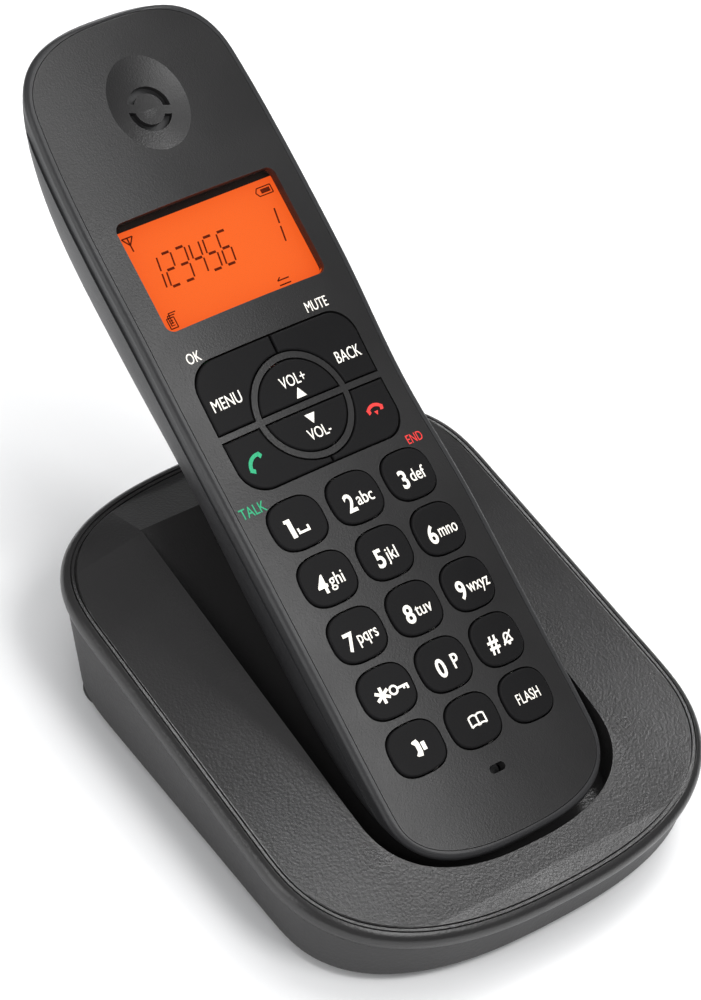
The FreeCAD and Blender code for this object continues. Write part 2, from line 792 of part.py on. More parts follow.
def ridge(lower=0.0):
    front = RIM_FRONT - 4.0
    back = RIM_BACK + 4.0
    flat = RIM_BACK - 1.0
    wires = [ridge_section(front, crease_z(front), lower),
             ridge_section(HIP_BACK, crease_z(HIP_BACK), lower),
             ridge_section(flat, rim_z(flat), lower),
             ridge_section(back, rim_z(back), lower)]
    solid = Part.makeLoft(wires[:2], True, True)
    for a, b in zip(wires[1:-1], wires[2:]):
        solid = solid.fuse(Part.makeLoft([a, b], True, True))
    return solid


def handset_to_base(y, z):
    c = math.cos(math.radians(LEAN))
    s = math.sin(math.radians(LEAN))
    return HANDSET_Y + y * c - z * s, HANDSET_Z + y * s + z * c


def cradle_floor(gap):
    """Side view of the floor: the handset's underside moved out by gap."""
    pts = []
    low = DEEPEST_AT + RIM_W
    for i in range(40):
        a = math.radians(CRADLE_START_DEG - i * 2.6)
        reach = low if a > 0.0 else FACE_LENGTH - DEEPEST_AT + RIM_W
        y = -reach * math.sin(a)
        z = -REAR_DEPTH * math.cos(a)
        ny = y / reach ** 2
        nz = z / REAR_DEPTH ** 2
        size = math.hypot(ny, nz)
        pts.append(handset_to_base(DEEPEST_AT + y + gap * ny / size, z + gap * nz / size))
    return pts


def cradle_slab(gap, back):
    """All that lies above the cradle's floor, seen from the side."""
    floor = [p for p in cradle_floor(gap) if p[0] < back]
    low = (CRADLE_FRONT - 6.0, floor[0][1] + 1.5)
    shelf = slab_between([low, floor[0]], [(low[0], 90.0), (floor[0][0], 90.0)], 60.0)
    bowl = slab_between(floor, [(floor[0][0], 90.0), (floor[-1][0], 90.0)], 60.0)
    return shelf.fuse(bowl).removeSplitter()


def cradle_tool(gap, grow, back=RIM_BACK + 20.0):
    plan = outline(lambda y: CRADLE_HALF, CRADLE_FRONT, RIM_BACK + 40.0, CRADLE_CAP,
                   CRADLE_POWER, CRADLE_CAP, CRADLE_POWER, grow)
    return cradle_slab(gap, back).common(prism(plan, -20, 95))


def groove(offset):
    """Fine line cut along the rim."""
    outer = Part.makeLoft([rim_wire(offset + GROOVE_W, GROOVE_DEPTH),
                           rim_wire(offset + GROOVE_W, -9.0)], True, True)
    inner = Part.makeLoft([rim_wire(offset, GROOVE_DEPTH + 1.0),
                           rim_wire(offset, -10.0)], True, True)
    return outer.cut(inner)


def post_places():
    return [(s * BASE_SCREW_X, y) for y in (BASE_SCREW_FRONT, BASE_SCREW_BACK) for s in (-1, 1)]


def base_screw_end():
    return FOOT_H + BASE_SCREW_SEAT + SCREW_HEAD_T + BASE_SCREW_L


def contact_axis():
    """Point on the docked handset's pad and the way out of it, in the base."""
    y, z, ny, nz = pad_surface()
    py, pz = handset_to_base(y, z)
    qy, qz = handset_to_base(y + ny, z + nz)
    return py, pz, qy - py, qz - pz


def along_contact(x, start, length, r):
    py, pz, ny, nz = contact_axis()
    return Part.makeCylinder(r, length, V(x, py + start * ny, pz + start * nz), V(0, ny, nz))


def contact_pin(x):
    py, pz, ny, nz = contact_axis()
    tip = PIN_GAP + PIN_R
    ball = Part.makeSphere(PIN_R, V(x, py + tip * ny, pz + tip * nz))
    stem = along_contact(x, tip, PIN_L, PIN_R)
    flange = along_contact(x, tip + PIN_L - PIN_FLANGE_T, PIN_FLANGE_T, PIN_FLANGE_R)
    return ball.fuse([stem, flange]).removeSplitter()


def base_top_cover():
    inside_rim = Part.makeLoft([rim_wire(-0.1, 3.0), rim_wire(-0.1, -14.0)], True, True)
    blank = rim_ring().fuse(ridge().common(inside_rim))
    wall = BAND_OUT - HOUSING_WALL
    hollow = Part.makeLoft([rim_wire(wall, BAND_DROP + 4.0), rim_wire(wall, -14.0)], True, True)
    hollow = hollow.common(ridge(COVER_SKIN))
    posts = [cylinder(x, y, POST_SPLIT_Z, 40, POST_R) for x, y in post_places()]
    hanging = [c.common(ridge(0.5 * COVER_SKIN)) for c in posts] + [cradle_skin()]
    cover = blank.cut(hollow).fuse(hanging)
    tools = [cradle_tool(CRADLE_GAP, 0.0), groove(0.0), groove(GROOVE_STEP)]
    tools += [along_contact(s * PAD_X, -1.0, 8.0, PIN_R + PIN_CLEAR) for s in (-1, 1)]
    tools += [cylinder(x, y, 0, base_screw_end() + SCREW_CLEAR, SCREW_R)
              for x, y in post_places()]
    for tool in tools:
        cover = cover.cut(tool)
    return cover


def cradle_skin():
    """The cradle's own skin, where it hangs below the wings."""
    block = cradle_tool(CRADLE_GAP + CRADLE_SKIN, CRADLE_SKIN, HIP_BACK + 2.0)
    return block.common(ridge(0.5 * COVER_SKIN))


def housing_loft(wall, floor_z, drop):
    low = closed_wire([(x, y, floor_z) for x, y in bottom_outline(-wall)])
    return Part.makeLoft([low, rim_wire(BAND_OUT - wall, drop)], True, True)


def base_housing():
    shell = housing_loft(0.0, FOOT_H, BAND_DROP)
    shell = shell.cut(housing_loft(HOUSING_WALL, FOOT_H + HOUSING_T, BAND_DROP))
    posts = [cylinder(x, y, FOOT_H, POST_SPLIT_Z, POST_R) for x, y in post_places()]
    shell = shell.fuse(posts)
    tools = [cylinder(x, y, 0, POST_SPLIT_Z + 1, SCREW_R) for x, y in post_places()]
    tools += [cylinder(x, y, 0, base_screw_end() - BASE_SCREW_L, SCREW_HEAD_R + SCREW_CLEAR)
              for x, y in post_places()]
    tools += [cylinder(x, y, 0, FOOT_H + FOOT_SEAT, FOOT_R) for x, y in foot_places()]
    tools += [socket_box(-SOCKET_X, LINE_W, SOCKET_CLEAR, 20.0),
              socket_box(SOCKET_X, JACK_W, SOCKET_CLEAR, 20.0)]
    return shell.cut(Part.makeCompound(tools))


def foot_places():
    return [(s * FOOT_X, y) for y in (FOOT_FRONT, FOOT_BACK) for s in (-1, 1)]


def base_feet():
    made = []
    for x, y in foot_places():
        foot = cylinder(x, y, 0, FOOT_H + FOOT_SEAT, FOOT_R)
        low = [e for e in foot.Edges if e.BoundBox.ZMax < 0.01]
        made.append(foot.makeFillet(0.6, low))
    return Part.makeCompound(made)


def base_screws():
    made = []
    for x, y in post_places():
        z = FOOT_H + BASE_SCREW_SEAT
        head = cylinder(x, y, z, z + SCREW_HEAD_T, SCREW_HEAD_R)
        cross = [box(x - 1.4, x + 1.4, y - 0.3, y + 0.3, 0, z + 0.7),
                 box(x - 0.3, x + 0.3, y - 1.4, y + 1.4, 0, z + 0.7)]
        shank = cylinder(x, y, z + SCREW_HEAD_T, base_screw_end(), SCREW_R)
        made.append(head.cut(Part.makeCompound(cross)).fuse(shank).removeSplitter())
    return Part.makeCompound(made)


def base_board():
    return box(-BASE_BOARD_HALF, BASE_BOARD_HALF, BASE_BOARD_FRONT, BASE_BOARD_BACK,
               BASE_BOARD_Z - BASE_BOARD_T, BASE_BOARD_Z)


def socket_box(x, width, grow, reach):
    z = BASE_BOARD_Z
    return box(x - 0.5 * width - grow, x + 0.5 * width + grow, SOCKET_BACK - SOCKET_L,
               SOCKET_BACK + reach, z, z + SOCKET_H + grow)


def line_socket():
    body = socket_box(-SOCKET_X, LINE_W, 0.0, 0.0)
    z0 = BASE_BOARD_Z + LINE_WALL
    z1 = BASE_BOARD_Z + SOCKET_H - LINE_WALL
    half = 0.5 * LINE_W - LINE_WALL
    mouth = box(-SOCKET_X - half, -SOCKET_X + half, SOCKET_BACK - LINE_DEEP, SOCKET_BACK + 1,
                z0, z1)
    notch = box(-SOCKET_X - 1.6, -SOCKET_X + 1.6, SOCKET_BACK - LINE_DEEP, SOCKET_BACK + 1,
                z0 - 0.8, z0 + 1)
    return body.cut(mouth.fuse(notch))


def power_socket():
    body = socket_box(SOCKET_X, JACK_W, 0.0, 0.0)
    start = V(SOCKET_X, SOCKET_BACK - JACK_DEEP, BASE_BOARD_Z + 0.5 * SOCKET_H)
    bore = Part.makeCylinder(JACK_BORE_R, JACK_DEEP + 1, start, V(0, 1, 0))
    pin = Part.makeCylinder(JACK_PIN_R, JACK_DEEP - 1.0, start, V(0, 1, 0))
    return body.cut(bore).fuse(pin)


def base_parts():
    return {
        "base_housing": base_housing(),
        "base_top_cover": base_top_cover(),
        "base_feet": base_feet(),
        "base_screws": base_screws(),
        "base_board": base_board(),
        "line_socket": line_socket(),
        "power_socket": power_socket(),
        "charge_pin_left": contact_pin(-PAD_X),
        "charge_pin_right": contact_pin(PAD_X),
    }


def centre_on_footprint(shapes):
    """Put y = 0 in the middle, from front to back, of the whole telephone."""
    boxes = [s.optimalBoundingBox(True, False) for s in shapes]
    middle = 0.5 * (min(b.YMin for b in boxes) + max(b.YMax for b in boxes))
    for shape in shapes:
        shape.translate(V(0, -middle, 0))
    return middle


def main():
    os.makedirs("parts", exist_ok=True)
    made = base_parts()
    for name, shape in handset_parts().items():
        made[name] = lay_in_cradle(shape)
    print("moved back by", round(centre_on_footprint(list(made.values())), 4))
    for name, shape in made.items():
        shape.exportStep("parts/" + name + ".step")
        print(name, len(shape.Solids), round(shape.Volume, 1), shape.isValid())


main()
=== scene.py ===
# %% [markdown]
# # A cordless desk telephone, lying in its charging base
#
# This lesson dresses the imported model of a cordless telephone. The handset lies face up in a
# low, rounded base. Its shapes are already exact, so the work here is light, camera, moulded
# plastic, printed legends and a lit display. It starts by loading the frame.

# %% Load the frame
import math

import bmesh
import bpy
from mathutils import Matrix, Vector


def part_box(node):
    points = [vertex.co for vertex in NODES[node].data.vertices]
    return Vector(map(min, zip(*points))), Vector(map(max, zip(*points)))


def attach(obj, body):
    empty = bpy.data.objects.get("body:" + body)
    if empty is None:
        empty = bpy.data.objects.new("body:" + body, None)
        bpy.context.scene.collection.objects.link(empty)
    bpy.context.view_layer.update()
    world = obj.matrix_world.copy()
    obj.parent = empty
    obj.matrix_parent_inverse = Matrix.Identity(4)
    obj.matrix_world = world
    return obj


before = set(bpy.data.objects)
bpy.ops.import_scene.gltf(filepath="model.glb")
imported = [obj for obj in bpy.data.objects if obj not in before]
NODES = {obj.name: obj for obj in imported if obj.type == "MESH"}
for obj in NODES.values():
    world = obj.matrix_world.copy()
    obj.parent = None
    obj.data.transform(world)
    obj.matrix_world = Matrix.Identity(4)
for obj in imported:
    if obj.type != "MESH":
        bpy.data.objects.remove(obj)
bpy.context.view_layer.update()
MM = 0.001

# %% [markdown]
# ## The handset's own frame
#
# Legends are easiest to place on the handset as if it lay flat: u across, v from the lower end
# to the top, w out of the face. The handset leans back by a known angle, and the feet show how
# far the whole model was moved to centre it, so two short functions turn one frame into the
# other. The face is crowned across and slightly dished along, and the same formula that shaped
# it lays the print on it.

# %% Turn handset coordinates into places
LEAN = math.radians(24.2)
FEET_MIDDLE_MM = 4.25
LIE_Y_MM = -33.9
LIE_Z_MM = 12.7
FACE_HALF = 21.5
CROWN = 1.6
DIP = 1.0
DIP_AT = 79.0
DIP_SPAN = 26.0
TOP_RISE = 0.8
TOP_RISE_FROM = 115.0
TOP_RISE_RUN = 39.0
KEY_RISE = 0.4
NAV_RISE = 0.15

foot_low, foot_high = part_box("base_feet")
MOVED_MM = FEET_MIDDLE_MM - 500.0 * (foot_low.y + foot_high.y)
ACROSS = Vector((1.0, 0.0, 0.0))
ALONG = Vector((0.0, math.cos(LEAN), math.sin(LEAN)))
OUTWARD = Vector((0.0, -math.sin(LEAN), math.cos(LEAN)))
LIE = Vector((0.0, LIE_Y_MM - MOVED_MM, LIE_Z_MM)) * MM


def place(u, v, w):
    """A point of the handset's frame, in millimetres, in the model."""
    return LIE + (ACROSS * u + ALONG * v + OUTWARD * w) * MM


def in_handset(point):
    """The same the other way round."""
    d = (point - LIE) / MM
    return Vector((d.dot(ACROSS), d.dot(ALONG), d.dot(OUTWARD)))


def face_height(u, v):
    """How far the face stands above the handset's own zero plane."""
    span = abs(v - DIP_AT) / DIP_SPAN
    dip = DIP * (0.5 + 0.5 * math.cos(math.pi * span)) if span < 1.0 else 0.0
    rise = TOP_RISE * max(0.0, (v - TOP_RISE_FROM) / TOP_RISE_RUN) ** 2
    return CROWN * (1.0 - (u / FACE_HALF) ** 2) - dip + rise


def middle_of(node):
    """Centre of a part's outline in the handset's frame."""
    spots = [in_handset(v.co) for v in NODES[node].data.vertices]
    us = [p.x for p in spots]
    vs = [p.y for p in spots]
    return 0.5 * (min(us) + max(us)), 0.5 * (min(vs) + max(vs))


print("key 5 lies at", [round(c, 2) for c in middle_of("key_5")])

# %% [markdown]
# ## Camera
#
# The camera stands to the left of the telephone and looks down at it by 46 degrees from
# three quarters of a metre, through a long lens, and it is rolled by some 17 degrees. Its three
# axes are written out as a rotation, which says the roll without a second step.

# %% Place the camera
RIGHT = Vector((0.7708219, -0.6015201, 0.2097788))
DOWN = Vector((-0.3418309, -0.6684181, -0.6605822))
AHEAD = Vector((0.5375734, 0.4374823, -0.7208495))
EYE_MM = Vector((-381.27, -287.26 - MOVED_MM, 549.34))

lens = bpy.data.cameras.new("camera")
lens.lens = 151.915
lens.sensor_width = 36.0
lens.clip_start = 0.05
camera = bpy.data.objects.new("camera", lens)
turn = Matrix((RIGHT, -DOWN, -AHEAD)).transposed()
camera.matrix_world = Matrix.Translation(EYE_MM * MM) @ turn.to_4x4()
bpy.context.scene.collection.objects.link(camera)
bpy.context.scene.camera = camera
print("camera", [round(c, 3) for c in camera.location], "with", round(lens.lens), "mm lens")

# %% [markdown]
# ## Light
#
# Black plastic shows its shape through what it reflects, so two jobs are kept apart. A broad
# panel that no surface mirrors lights the floor and casts the soft shadow to the left. Three
# smaller ones are there to be mirrored: one overhead brightens the left of the face, one at the
# back the front of the base, and one on the left draws a line along the handset's edge. One
# more fills the hollows from the front without touching the floor or its shadow. The
# surroundings fill the shadows but are mirrored only faintly. The colour view is the standard
# one, so that the orange of the display stays clean.

# %% Put up the lights
scene = bpy.context.scene
scene.view_settings.view_transform = "Standard"


def soft_panel(name, spot, aim, width, height, power, mirrored=True):
    data = bpy.data.lights.new(name, "AREA")
    data.shape = "RECTANGLE"
    data.size = width
    data.size_y = height
    data.energy = power
    panel = bpy.data.objects.new(name, data)
    scene.collection.objects.link(panel)
    panel.location = spot
    panel.visible_glossy = mirrored
    panel.rotation_mode = "QUATERNION"
    panel.rotation_quaternion = (Vector(aim) - Vector(spot)).to_track_quat("-Z", "Y")
    return panel


soft_panel("panel_floor", (0.75, 0.55, 1.25), (0.0, 0.0, 0.0), 1.4, 1.4, 15.0, False)
soft_panel("panel_overhead", (0.20, -0.52, 1.35), (0.0, 0.0, 0.03), 0.55, 0.55, 7.5)
soft_panel("panel_back", (0.79, 0.44, 1.20), (0.0, -0.03, 0.02), 0.36, 0.36, 5.0)
soft_panel("panel_left", (-1.2, 0.15, 0.55), (0.0, 0.0, 0.05), 0.5, 1.0, 5.0)
front_fill = soft_panel("panel_front", (-1.0, -0.75, 1.0), (0.0, 0.0, 0.03), 0.6, 0.6, 17.0,
                        False)

FILL = 0.60
MIRRORED_FILL = 0.12
world = bpy.data.worlds.new("surroundings")
world.use_nodes = True
sky = world.node_tree
path = sky.nodes.new("ShaderNodeLightPath")
choose = sky.nodes.new("ShaderNodeMapRange")
choose.inputs["To Min"].default_value = FILL
choose.inputs["To Max"].default_value = MIRRORED_FILL
sky.links.new(path.outputs["Is Glossy Ray"], choose.inputs["Value"])
sky.links.new(choose.outputs["Result"], sky.nodes["Background"].inputs["Strength"])
sky.nodes["Background"].inputs["Color"].default_value = (0.97, 0.98, 1.0, 1.0)
scene.world = world

# %% [markdown]
# ## Shared effects
#
# Several materials need the same things: the fine grain that a spark-eroded mould leaves, and
# the faint lighter line along the edges, which stands partly for edges worn by hands and partly
# for a painted highlight that the edges catch. Each is made once as a node group that gives only
# values, colours and normals, so a material stays short and its shader stays its own. Sizes are
# in metres, and the pattern comes from the object's own coordinates, so it stays put when a part
# moves.

# %% Make the node groups
def socket(tree, name, way, kind="NodeSocketFloat", value=None):
    made = tree.interface.new_socket(name, in_out=way, socket_type=kind)
    if value is not None:
        made.default_value = value
    return made


def group(name, inputs, outputs):
    """A new node group and the nodes at its two ends: (tree, start, end)."""
    tree = bpy.data.node_groups.new(name, "ShaderNodeTree")
    for label, value in inputs.items():
        kind = "NodeSocketColor" if isinstance(value, tuple) else "NodeSocketFloat"
        socket(tree, label, "INPUT", kind, value)
    for label, kind in outputs.items():
        socket(tree, label, "OUTPUT", kind)
    start = tree.nodes.new("NodeGroupInput")
    end = tree.nodes.new("NodeGroupOutput")
    return tree, start, end


def add(tree, kind, **settings):
    node = tree.nodes.new(kind)
    for key, value in settings.items():
        setattr(node, key, value)
    return node


def link(tree, source, target):
    tree.links.new(source, target)


def math_node(tree, what, a, b=None):
    node = add(tree, "ShaderNodeMath", operation=what)
    for slot, value in enumerate((a, b)):
        if value is None:
            continue
        if isinstance(value, (int, float)):
            node.inputs[slot].default_value = value
        else:
            link(tree, value, node.inputs[slot])
    return node.outputs[0]


def make_grain():
    """Moulded grain: cells of one size, broken up, and slow mottling under them."""
    tree, start, end = group("moulded_grain", {"Cell size": 0.0004, "Depth": 0.4},
                             {"Mottle": "NodeSocketFloat", "Speckle": "NodeSocketFloat",
                              "Normal": "NodeSocketVector"})
    where = add(tree, "ShaderNodeTexCoord").outputs["Object"]
    density = math_node(tree, "DIVIDE", 1.0, start.outputs["Cell size"])
    cells = add(tree, "ShaderNodeTexVoronoi", feature="SMOOTH_F1")
    cells.inputs["Smoothness"].default_value = 0.6
    fine = add(tree, "ShaderNodeTexNoise")
    fine.inputs["Detail"].default_value = 3.0
    slow = add(tree, "ShaderNodeTexNoise")
    slow.inputs["Scale"].default_value = 55.0
    slow.inputs["Detail"].default_value = 4.0
    for texture in (cells, fine, slow):
        link(tree, where, texture.inputs["Vector"])
    link(tree, density, cells.inputs["Scale"])
    link(tree, math_node(tree, "MULTIPLY", density, 2.3), fine.inputs["Scale"])
    height = math_node(tree, "ADD", cells.outputs["Distance"], fine.outputs["Fac"])
    bump = add(tree, "ShaderNodeBump")
    link(tree, start.outputs["Depth"], bump.inputs["Strength"])
    link(tree, math_node(tree, "MULTIPLY", start.outputs["Cell size"], 0.12),
         bump.inputs["Distance"])
    link(tree, height, bump.inputs["Height"])
    link(tree, slow.outputs["Fac"], end.inputs["Mottle"])
    link(tree, fine.outputs["Fac"], end.inputs["Speckle"])
    link(tree, bump.outputs["Normal"], end.inputs["Normal"])
    return tree


def make_edge_wear_and_sheen():
    """Edge wear and painted highlight: 1 where the surface turns sharply within the radius, broken
    up by noise, else 0.
    """
    tree, start, end = group("edge_wear_and_sheen", {"Radius": 0.0005, "Amount": 1.0},
                             {"Mask": "NodeSocketFloat"})
    rounded = add(tree, "ShaderNodeBevel", samples=4)
    link(tree, start.outputs["Radius"], rounded.inputs["Radius"])
    true = add(tree, "ShaderNodeNewGeometry").outputs["Normal"]
    facing = add(tree, "ShaderNodeVectorMath", operation="DOT_PRODUCT")
    link(tree, rounded.outputs["Normal"], facing.inputs[0])
    link(tree, true, facing.inputs[1])
    turned = math_node(tree, "SUBTRACT", 1.0, facing.outputs["Value"])
    noise = add(tree, "ShaderNodeTexNoise")
    noise.inputs["Scale"].default_value = 700.0
    uneven = math_node(tree, "MULTIPLY", turned, noise.outputs["Fac"])
    strong = math_node(tree, "MULTIPLY", uneven, start.outputs["Amount"])
    capped = add(tree, "ShaderNodeClamp")
    link(tree, strong, capped.inputs["Value"])
    link(tree, capped.outputs["Result"], end.inputs["Mask"])
    return tree


GRAIN = make_grain()
EDGE_WEAR_AND_SHEEN = make_edge_wear_and_sheen()
print("node groups", [g.name for g in bpy.data.node_groups])

# %% [markdown]
# ## Moulded plastic and rubber
#
# The case is black, but not one black. The handset's front has a soft grain that reads as dark
# grey, the keys are a deeper, smoother rubber, and the base is a touch coarser. All of them come
# from one recipe with different numbers: two close colours mixed by the mottling, a roughness
# that varies with it, the grain as a bump, and lighter edges that stand for wear and a painted
# highlight.

# %% Make the case materials
def material(name):
    made = bpy.data.materials.new(name)
    made.use_nodes = True
    return made, made.node_tree, made.node_tree.nodes["Principled BSDF"]


def use(tree, shared, **values):
    node = add(tree, "ShaderNodeGroup", node_tree=shared)
    for label, value in values.items():
        node.inputs[label.replace("_", " ")].default_value = value
    return node


def mix_colour(tree, factor, first, second):
    """Two colours mixed by a factor; each is a colour or another node's socket."""
    node = add(tree, "ShaderNodeMix", data_type="RGBA")
    link(tree, factor, node.inputs[0])
    for socket_at, value in ((6, first), (7, second)):
        if isinstance(value, tuple):
            node.inputs[socket_at].default_value = (*value, 1.0)
        else:
            link(tree, value, node.inputs[socket_at])
    return node.outputs[2]


def spread(tree, value, low, high, start=0.3, stop=0.7):
    """The value's usual range stretched to low..high."""
    node = add(tree, "ShaderNodeMapRange")
    link(tree, value, node.inputs["Value"])
    node.inputs["From Min"].default_value = start
    node.inputs["From Max"].default_value = stop
    node.inputs["To Min"].default_value = low
    node.inputs["To Max"].default_value = high
    return node.outputs["Result"]


def moulded(name, dark, light, rough, cell, depth, wear_and_sheen=0.5, specular=0.5):
    """A moulded plastic or rubber: two colours, a roughness range, grain, and lighter edges for
    wear and a painted highlight.
    """
    made, tree, shader = material(name)
    grain = use(tree, GRAIN, Cell_size=cell, Depth=depth)
    # Lighter edges: partly wear, partly a painted highlight where the edges catch the light.
    edges_worn_and_lit = use(tree, EDGE_WEAR_AND_SHEEN, Radius=0.00045, Amount=wear_and_sheen)
    body = mix_colour(tree, grain.outputs["Mottle"], dark, light)
    bright = tuple(min(1.0, c * 2.2 + 0.02) for c in light)
    link(tree, mix_colour(tree, edges_worn_and_lit.outputs["Mask"], body, bright),
         shader.inputs["Base Color"])
    link(tree, spread(tree, grain.outputs["Mottle"], *rough), shader.inputs["Roughness"])
    link(tree, grain.outputs["Normal"], shader.inputs["Normal"])
    shader.inputs["Specular IOR Level"].default_value = specular
    return made


FACE = moulded("face_black", (0.0095, 0.0092, 0.0094), (0.0125, 0.0121, 0.0123), (0.34, 0.42),
               0.00035, 0.40)
SHELL = moulded("shell_black", (0.0150, 0.0150, 0.0160), (0.0210, 0.0210, 0.0220), (0.38, 0.48),
                0.00035, 0.35)
TOP = moulded("base_top_black", (0.0135, 0.0131, 0.0133), (0.0175, 0.0170, 0.0172), (0.27, 0.33),
              0.0005, 0.40)
WALL = moulded("base_wall_black", (0.0190, 0.0186, 0.0190), (0.0250, 0.0245, 0.0250), (0.42, 0.55),
               0.0006, 0.6)
KEY = moulded("key_rubber", (0.0050, 0.0049, 0.0052), (0.0070, 0.0068, 0.0072), (0.46, 0.58),
              0.0003, 0.25, 0.4, 0.12)
FEET = moulded("foot_rubber", (0.018, 0.018, 0.018), (0.03, 0.03, 0.03), (0.75, 0.9),
               0.0005, 0.8, 0.2, 0.3)
SOCKET = moulded("socket_black", (0.012, 0.012, 0.013), (0.02, 0.02, 0.021), (0.25, 0.4),
                 0.0004, 0.2)
print("case materials", len(bpy.data.materials))

# %% [markdown]
# ## Metal, boards and cells
#
# Most of these are hidden inside, and they show when the handset is taken apart or drawn on
# its own. Plated contacts are brushed along one way, screws have a turned finish, the cells
# wear a printed sleeve with a band, and the circuit boards have copper lines under green lacquer.

# %% Make the inner materials
def stripes(tree, axis, per_metre, distortion=0.0):
    """Bands across one axis of the object, 0 to 1."""
    wave = add(tree, "ShaderNodeTexWave", wave_type="BANDS", bands_direction=axis)
    wave.inputs["Scale"].default_value = per_metre
    wave.inputs["Distortion"].default_value = distortion
    link(tree, add(tree, "ShaderNodeTexCoord").outputs["Object"], wave.inputs["Vector"])
    return wave.outputs["Fac"]


def brushed(name, dark, light, rough, axis, per_metre):
    """Metal with fine lines along one direction."""
    made, tree, shader = material(name)
    lines = stripes(tree, axis, per_metre, 3.0)
    link(tree, mix_colour(tree, lines, dark, light), shader.inputs["Base Color"])
    link(tree, spread(tree, lines, *rough, 0.0, 1.0), shader.inputs["Roughness"])
    shader.inputs["Metallic"].default_value = 1.0
    return made


def circuit(name):
    made, tree, shader = material(name)
    across = stripes(tree, "X", 160.0, 1.2)
    along = stripes(tree, "Y", 120.0, 1.5)
    copper = math_node(tree, "GREATER_THAN", math_node(tree, "MAXIMUM", across, along), 0.93)
    link(tree, mix_colour(tree, copper, (0.01, 0.09, 0.035), (0.03, 0.2, 0.07)),
         shader.inputs["Base Color"])
    link(tree, spread(tree, across, 0.25, 0.4, 0.0, 1.0), shader.inputs["Roughness"])
    return made


def cell_sleeve(name):
    made, tree, shader = material(name)
    band = math_node(tree, "GREATER_THAN", stripes(tree, "Y", 9.0), 0.6)
    colour = mix_colour(tree, band, (0.02, 0.16, 0.07), (0.75, 0.76, 0.74))
    grain = use(tree, GRAIN, Cell_size=0.0008, Depth=0.1)
    link(tree, colour, shader.inputs["Base Color"])
    link(tree, spread(tree, grain.outputs["Mottle"], 0.18, 0.3), shader.inputs["Roughness"])
    link(tree, grain.outputs["Normal"], shader.inputs["Normal"])
    return made


STEEL = brushed("screw_steel", (0.42, 0.42, 0.42), (0.62, 0.61, 0.6), (0.25, 0.42), "X", 900.0)
PLATED = brushed("plated_contact", (0.62, 0.55, 0.38), (0.82, 0.74, 0.52), (0.2, 0.34), "Y",
                 1200.0)
CIRCUIT = circuit("circuit_board")
SLEEVE = cell_sleeve("cell_sleeve")
FILM = moulded("dome_film", (0.62, 0.61, 0.57), (0.72, 0.71, 0.67), (0.4, 0.5), 0.001, 0.2)
SOUNDER = moulded("sounder_frame", (0.03, 0.03, 0.032), (0.06, 0.06, 0.06), (0.4, 0.6),
                  0.0004, 0.4)
GUIDE = moulded("light_guide", (0.72, 0.6, 0.45), (0.82, 0.72, 0.55), (0.3, 0.42), 0.001, 0.3)
print("inner materials", len(bpy.data.materials))

# %% [markdown]
# ## The display
#
# The display is lit from behind through orange film, so the glass glows evenly, a little
# brighter in the middle and duller towards its edges. Above the lit field runs a dark strip
# where the glass is blacked out. Over it lies a clear window, which mostly lets the eye through
# and mirrors a little more at a shallow angle.

# %% Make the display materials
def along_handset(tree):
    """u and v of the shaded point in millimetres, as two sockets."""
    where = add(tree, "ShaderNodeTexCoord").outputs["Object"]
    found = []
    for axis in (ACROSS, ALONG):
        moved = add(tree, "ShaderNodeVectorMath", operation="SUBTRACT")
        link(tree, where, moved.inputs[0])
        moved.inputs[1].default_value = LIE
        along = add(tree, "ShaderNodeVectorMath", operation="DOT_PRODUCT")
        link(tree, moved.outputs[0], along.inputs[0])
        along.inputs[1].default_value = axis / MM
        found.append(along.outputs["Value"])
    return found


def make_backlight():
    """Colour of the lit field, with its dark strip and duller edges."""
    tree, start, end = group("backlight", {"Strip from": 119.5, "Middle": 109.8},
                             {"Colour": "NodeSocketColor", "Lit": "NodeSocketFloat"})
    u, v = along_handset(tree)
    off = math_node(tree, "ABSOLUTE", math_node(tree, "DIVIDE", u, 17.0))
    up = math_node(tree, "DIVIDE", math_node(tree, "SUBTRACT", v, start.outputs["Middle"]), 10.0)
    reach = math_node(tree, "ADD", math_node(tree, "POWER", off, 4.0),
                      math_node(tree, "POWER", math_node(tree, "ABSOLUTE", up), 4.0))
    noise = add(tree, "ShaderNodeTexNoise")
    noise.inputs["Scale"].default_value = 90.0
    fade = add(tree, "ShaderNodeMapRange")
    fade.inputs["From Max"].default_value = 2.0
    link(tree, math_node(tree, "ADD", reach, math_node(tree, "MULTIPLY", noise.outputs["Fac"],
                                                       0.3)), fade.inputs["Value"])
    glow = mix_colour(tree, fade.outputs["Result"], (0.97, 0.146, 0.020), (0.82, 0.090, 0.012))
    lit = math_node(tree, "LESS_THAN", v, start.outputs["Strip from"])
    link(tree, mix_colour(tree, lit, (0.012, 0.008, 0.006), glow), end.inputs["Colour"])
    link(tree, lit, end.inputs["Lit"])
    return tree


def display_glass():
    made, tree, shader = material("display_glass")
    field = use(tree, make_backlight())
    link(tree, mix_colour(tree, field.outputs["Lit"], (0.010, 0.007, 0.006),
                          (0.035, 0.006, 0.002)), shader.inputs["Base Color"])
    link(tree, field.outputs["Colour"], shader.inputs["Emission Color"])
    link(tree, spread(tree, field.outputs["Lit"], 0.05, 0.97, 0.0, 1.0),
         shader.inputs["Emission Strength"])
    shader.inputs["Roughness"].default_value = 0.35
    shader.inputs["Specular IOR Level"].default_value = 0.05
    return made


